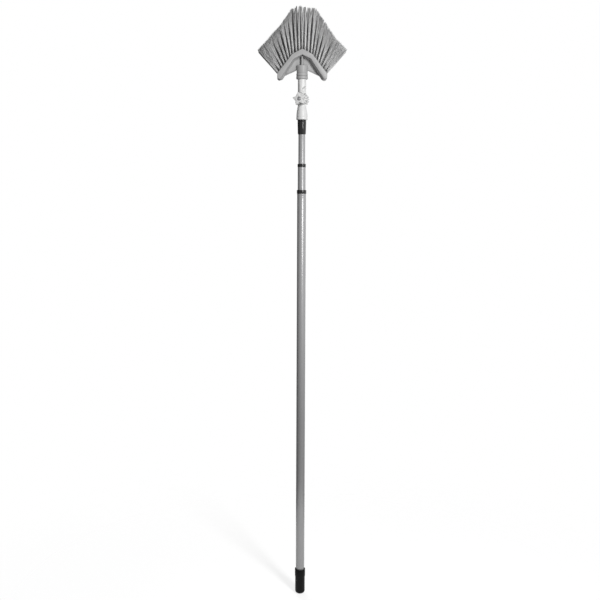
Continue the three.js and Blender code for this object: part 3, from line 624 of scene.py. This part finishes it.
def collar_faces(start):
    """Faces between a collar's rings, the last of which joins the first."""
    rings = len(COLLAR_PROFILE)
    for ring in range(rings):
        a, b = start + ring * COLLAR_SIDES, start + (ring + 1) % rings * COLLAR_SIDES
        for k in range(COLLAR_SIDES):
            after = (k + 1) % COLLAR_SIDES
            yield [a + k, a + after, b + after, b + k]


def make_tuft_bed():
    """The block's outer face between its rims, in one piece, with a low collar round each tuft."""
    end = EDGE_LENGTH - SLICE_END - HAIRLINE
    deep = SLICE_THICKNESS
    top = np.array([0.0, -deep / ROOF_OUT[1]])
    right = [mitre(0), edge_point(end, 0), edge_point(end, deep), mitre(deep)]
    left = [p * [-1, 1] for p in reversed(right)]
    outline = [APEX, *right, top, *left]
    half = BLOCK_DEPTH / 2 - SLICE_RIM - HAIRLINE
    verts = [(x, y, z + APEX_Z) for y in (-half, half) for x, z in outline]
    n = len(outline)
    faces = [list(range(n)), list(range(2 * n - 1, n - 1, -1))]
    faces += [[i + n, (i + 1) % n + n, (i + 1) % n, i] for i in range(n)]
    for side in (1, -1):
        for front in (1, -1):
            for _, row, distance in tuft_places():
                collar = list(collar_faces(len(verts)))
                faces += collar if side * front > 0 else [face[::-1] for face in collar]
                verts += [(x * side, -y * front, z + APEX_Z) for x, y, z in collar_points(row, distance)]
    ob = new_object("tuft_bed", verts, faces, smooth=False)
    ob.data.materials.append(GREY)
    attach(ob, "head")


# Stage


def round_pole(azimuth, distance, height):
    """The point at a distance from the pole in the direction of an azimuth."""
    turn = math.radians(azimuth)
    return distance * math.sin(turn), -distance * math.cos(turn), height


def aim(ob, target):
    ob.rotation_mode = "QUATERNION"
    ob.rotation_quaternion = (Vector(target) - ob.location).to_track_quat("-Z", "Y")


def make_camera():
    """The photograph's view, from a little above the pole's middle and tilted down."""
    azimuth, pitch = math.radians(CAMERA_AZIMUTH), math.radians(CAMERA_PITCH)
    back = Vector((math.sin(azimuth), -math.cos(azimuth), 0))
    right = Vector((math.cos(azimuth), math.sin(azimuth), 0))
    sideways = -(AXIS_PX - FRAME_PX / 2) / FOCAL_PX * CAMERA_DISTANCE
    data = bpy.data.cameras.new("camera")
    data.angle = 2 * math.atan(FRAME_PX / 2 / FOCAL_PX)
    data.clip_end = CAMERA_CLIP_END
    ob = bpy.data.objects.new("camera", data)
    scene.collection.objects.link(ob)
    ob.location = back * CAMERA_DISTANCE + right * sideways + Vector((0, 0, CAMERA_HEIGHT))
    aim(ob, ob.location - back - Vector((0, 0, math.tan(pitch))))
    ob.rotation_mode = "XYZ"
    ob.rotation_euler.rotate_axis("Z", math.radians(POLE_LEAN))
    scene.camera = ob


def area_light(name, place, target, size, power, in_gloss=True):
    data = bpy.data.lights.new(name, "AREA")
    data.shape = "RECTANGLE"
    data.size, data.size_y = size
    data.energy = power
    ob = bpy.data.objects.new(name, data)
    scene.collection.objects.link(ob)
    ob.location = place
    ob.visible_glossy = in_gloss
    aim(ob, target)


def make_world():
    """A surround that is seen as white and lights the broom less than that."""
    world = bpy.data.worlds.new("studio")
    scene.world = world
    tree = Nodes(world)
    soft = tree.fill(tree.nodes["Background"], Color=(1, 1, 1, 1), Strength=SURROUND)
    white = tree.add("Background", Color=(1, 1, 1, 1), Strength=1.0)
    mix = tree.add("MixShader", tree.seen_directly(), soft.outputs[0], white.outputs[0])
    tree.fill(tree.nodes["World Output"], Surface=mix.outputs[0])


def make_floor():
    """A pale floor round the foot that keeps the broom's shadow and fades into the white surround."""
    size = FLOOR_EDGE
    verts = [(-size, -size, 0), (size, -size, 0), (size, size, 0), (-size, size, 0)]
    ob = new_object("floor", verts, [(0, 1, 2, 3)])
    ob.location.z = -FLOOR_GAP
    tree = Surface("floor", FLOOR_COLOR, FLOOR_ROUGHNESS, specular=0.0)
    glow = tree.add("Emission", Strength=tree.math("MULTIPLY", tree.seen_directly(), FLOOR_GLOW))
    lit = tree.add("AddShader", tree.bsdf.outputs[0], glow.outputs[0])
    distance = tree.add("VectorMath", tree.place)
    distance.operation = "LENGTH"
    fade = tree.add("MapRange", Value=distance.outputs["Value"], From_Min=FLOOR_SOLID, From_Max=FLOOR_EDGE)
    fade.interpolation_type = "SMOOTHSTEP"
    clear = tree.add("BsdfTransparent")
    mix = tree.add("MixShader", fade.outputs["Result"], lit.outputs[0], clear.outputs[0])
    tree.fill(tree.nodes["Material Output"], Surface=mix.outputs[0])
    ob.data.materials.append(tree.material)


def card(name, azimuths, heights, level):
    """A curved card round the broom that only glossy surfaces show. level gives its glow at a place."""
    columns, rows = len(azimuths), len(heights)
    places = [(azimuth, height) for height in heights for azimuth in azimuths]
    verts = [round_pole(azimuth, CARD_DISTANCE, height) for azimuth, height in places]
    faces = [
        (i + j * columns, i + 1 + j * columns, i + 1 + (j + 1) * columns, i + (j + 1) * columns)
        for j in range(rows - 1)
        for i in range(columns - 1)
    ]
    ob = new_object(name, verts, faces)
    add_values(ob, "glow", [level(*place) for place in places])
    material = bpy.data.materials.new(name)
    tree = Nodes(material)
    emission = tree.add("Emission", Strength=tree.attribute("glow"))
    tree.fill(tree.nodes["Material Output"], Surface=emission.outputs[0])
    ob.data.materials.append(material)
    ob.visible_camera = ob.visible_diffuse = ob.visible_shadow = False


def low_level(azimuth, height):
    """Darkest at the left and behind it, brighter to the right. Turns into high_level from CARD_BEND up."""
    side = np.interp(azimuth, LOW_AZIMUTHS, LOW_LEVELS)
    rise = np.clip((height - CARD_BEND) / (CARD_TOP - CARD_BEND), 0, 1)
    return float(side + (high_level(azimuth, height) - side) * rise)


def high_level(azimuth, _height):
    """Dim behind and at the left, half bright in front, and white at the card's right edge."""
    return float(np.interp(azimuth, HIGH_AZIMUTHS, HIGH_LEVELS))


def make_lights():
    area_light("key", place=(1.35, -2.9, 2.2), target=(0, 0, 1.4), size=(0.5, 0.5), power=47, in_gloss=False)
    area_light("back_fill", place=(-0.9, 2.9, 2.0), target=(0, 0, 1.2), size=(1.4, 1.4), power=34,
               in_gloss=False)
    area_light("strip", place=round_pole(STRIP_AZIMUTH, STRIP_DISTANCE, STRIP_HEIGHT),
               target=(0, 0, STRIP_HEIGHT), size=(0.4, 1.06), power=23)
    card("low_card", np.linspace(-180, 180, LOW_COLUMNS), np.linspace(CARD_FOOT, CARD_TOP, LOW_ROWS),
         low_level)
    card("high_card", np.linspace(-180, HIGH_AZIMUTHS[-1], HIGH_COLUMNS), (CARD_TOP, HIGH_TOP), high_level)


dress_nodes()
make_bristles()
make_tuft_bed()
make_camera()
make_world()
make_floor()
make_lights()
scene.view_settings.view_transform = "Standard"
